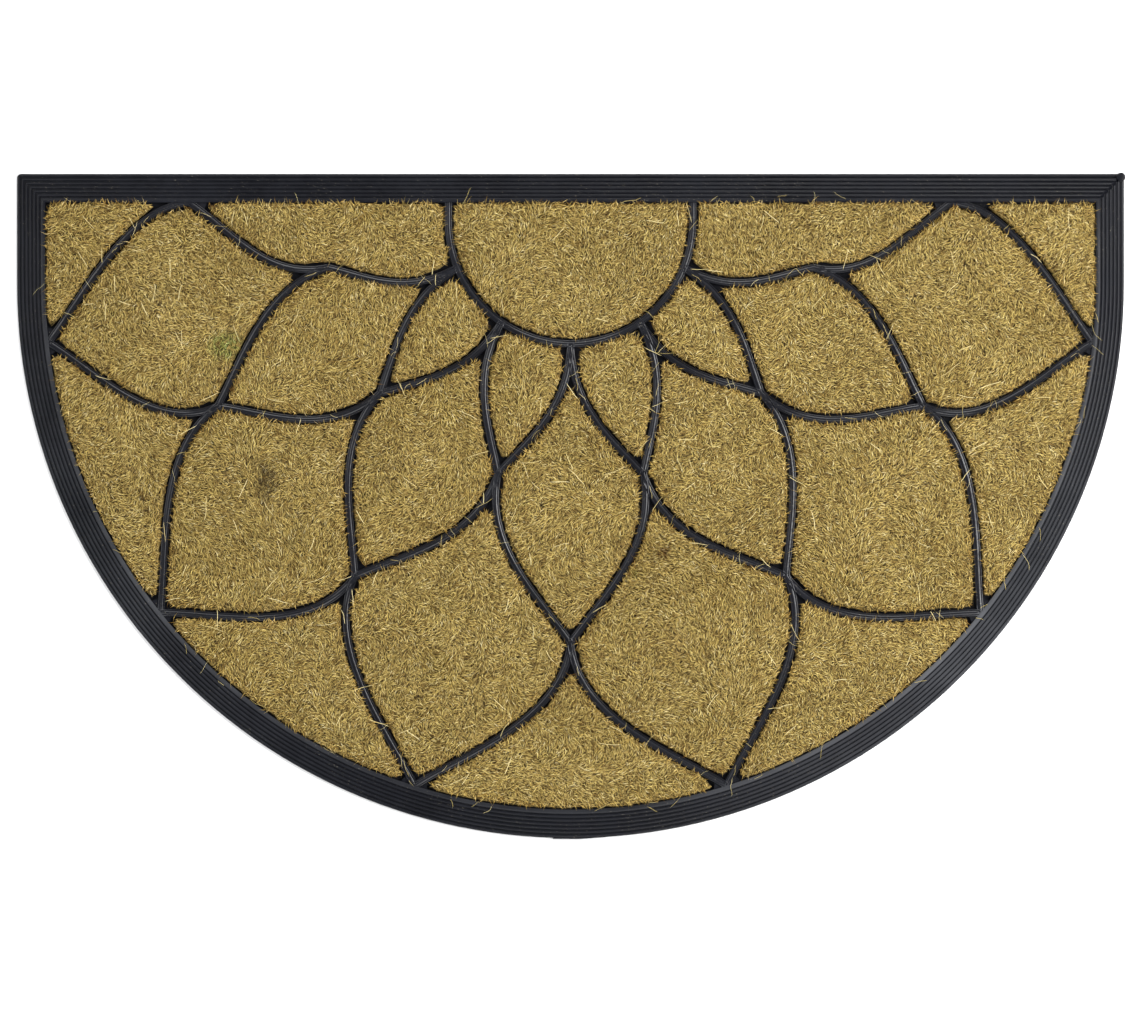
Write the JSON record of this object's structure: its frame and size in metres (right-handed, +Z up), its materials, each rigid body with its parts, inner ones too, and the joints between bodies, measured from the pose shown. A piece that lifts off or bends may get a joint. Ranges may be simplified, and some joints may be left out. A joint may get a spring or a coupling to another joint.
{
  "type": "half round doormat",
  "caption": "Flat half round doormat: a black moulded rubber tray with a ribbed border and raised dividers, filled with tan coir pile for wiping shoes.",
  "frame": {"origin": "middle of the underside of the mat's bounding box, on the floor", "axes": "+X along the straight edge, +Y towards the straight edge, +Z up out of the pile"},
  "size_m": [0.762, 0.4572, 0.0103],
  "materials": {
    "rubber": "matt moulded black rubber with a faint bluish sheen",
    "coir": "short bristly golden tan coir pile"
  },
  "bodies": {
    "root": {"rubber_tray": "rubber", "coir_hub": "coir", "coir_wing_right": "coir", "coir_wing_left": "coir", "coir_inner_1": "coir", "coir_inner_2": "coir", "coir_inner_3": "coir", "coir_inner_4": "coir", "coir_middle_1": "coir", "coir_middle_2": "coir", "coir_middle_3": "coir", "coir_middle_4": "coir", "coir_middle_5": "coir", "coir_outer_1": "coir", "coir_outer_2": "coir", "coir_outer_3": "coir", "coir_outer_4": "coir", "coir_outer_5": "coir", "coir_outer_6": "coir", "coir_rim_1": "coir", "coir_rim_2": "coir", "coir_rim_3": "coir", "coir_rim_4": "coir", "coir_rim_5": "coir", "coir_corner_right": "coir", "coir_corner_left": "coir"}
  },
  "joints": []
}
